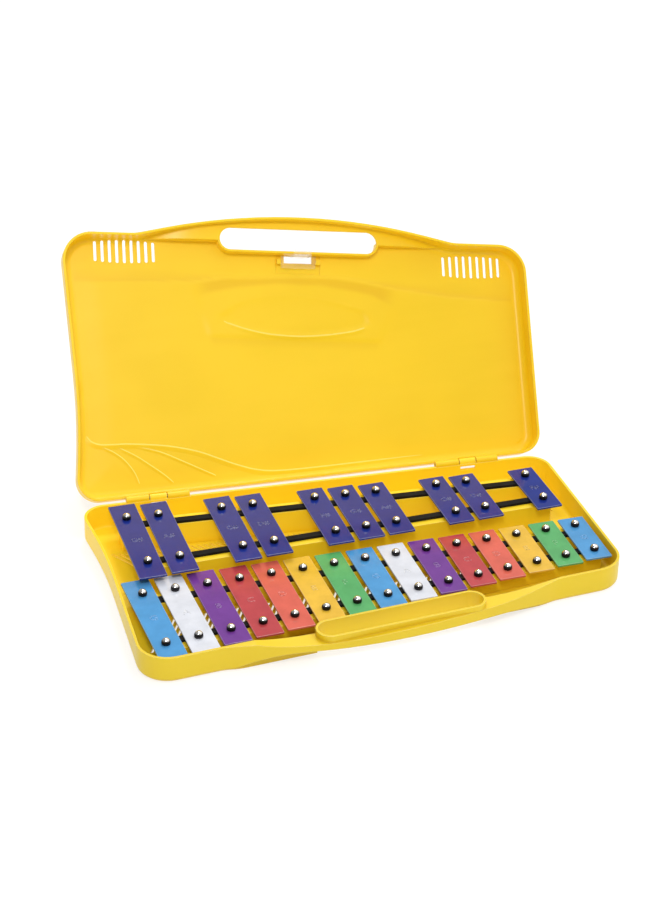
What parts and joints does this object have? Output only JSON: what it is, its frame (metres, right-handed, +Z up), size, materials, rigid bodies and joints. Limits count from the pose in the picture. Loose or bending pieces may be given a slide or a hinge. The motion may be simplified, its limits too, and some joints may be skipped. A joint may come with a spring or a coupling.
{
  "type": "glockenspiel",
  "caption": "Chromatic metal-bar glockenspiel in a hinged plastic carrying case, lid thrown back, two rows of coloured bars on rubber rails.",
  "frame": {"origin": "on the underside of the tray, below the middle natural bar", "axes": "+X along the bar rows towards the short high-note bars, +Y to the rear towards the hinge, +Z up from the table"},
  "size_m": [0.455, 0.4158, 0.2227],
  "materials": {
    "case_yellow": "semi-gloss moulded plastic",
    "latch_clear": "clear plastic",
    "pin_steel": "plain steel wire",
    "rail_rubber": "matt black foam rubber",
    "bar_light_blue": "semi-gloss enamel",
    "bar_white": "semi-gloss enamel",
    "bar_purple": "semi-gloss enamel",
    "bar_dark_red": "semi-gloss enamel",
    "bar_red_orange": "semi-gloss enamel",
    "bar_yellow_orange": "semi-gloss enamel",
    "bar_green": "semi-gloss enamel",
    "bar_indigo": "semi-gloss enamel",
    "screw_chrome": "polished dome"
  },
  "bodies": {
    "tray": {"base_tray": "case_yellow", "hinge_pin_left": "pin_steel", "hinge_pin_right": "pin_steel", "bridge_natural_rear": "case_yellow", "bridge_natural_front": "case_yellow", "bridge_sharp_rear": "case_yellow", "bridge_sharp_front": "case_yellow", "rail_natural_rear": "rail_rubber", "rail_natural_front": "rail_rubber", "rail_sharp_rear": "rail_rubber", "rail_sharp_front": "rail_rubber", "bar_natural_01": "bar_light_blue", "bar_natural_02": "bar_white", "bar_natural_03": "bar_purple", "bar_natural_04": "bar_dark_red", "bar_natural_05": "bar_red_orange", "bar_natural_06": "bar_yellow_orange", "bar_natural_07": "bar_green", "bar_natural_08": "bar_light_blue", "bar_natural_09": "bar_white", "bar_natural_10": "bar_purple", "bar_natural_11": "bar_dark_red", "bar_natural_12": "bar_red_orange", "bar_natural_13": "bar_yellow_orange", "bar_natural_14": "bar_green", "bar_natural_15": "bar_light_blue", "bar_sharp_01": "bar_indigo", "bar_sharp_02": "bar_indigo", "bar_sharp_03": "bar_indigo", "bar_sharp_04": "bar_indigo", "bar_sharp_05": "bar_indigo", "bar_sharp_06": "bar_indigo", "bar_sharp_07": "bar_indigo", "bar_sharp_08": "bar_indigo", "bar_sharp_09": "bar_indigo", "bar_sharp_10": "bar_indigo", "screws_natural_rear": "screw_chrome", "screws_natural_front": "screw_chrome", "screws_sharp_rear": "screw_chrome", "screws_sharp_front": "screw_chrome"},
    "lid": {"lid": "case_yellow"},
    "latch": {"lid_latch": "latch_clear"}
  },
  "joints": [
    {"name": "lid_hinge", "type": "hinge", "parent": "tray", "child": "lid", "pos_m": [0, 0.10858, 0.024], "axis": [0.9971, -0.0764, 0], "range_deg": [0, 126]},
    {"name": "latch_swing", "type": "hinge", "parent": "lid", "child": "latch", "pos_m": [0.02422, 0.24193, 0.17722], "axis": [-0.9845, 0.1461, 0.097], "range_deg": [0, 6]}
  ]
}
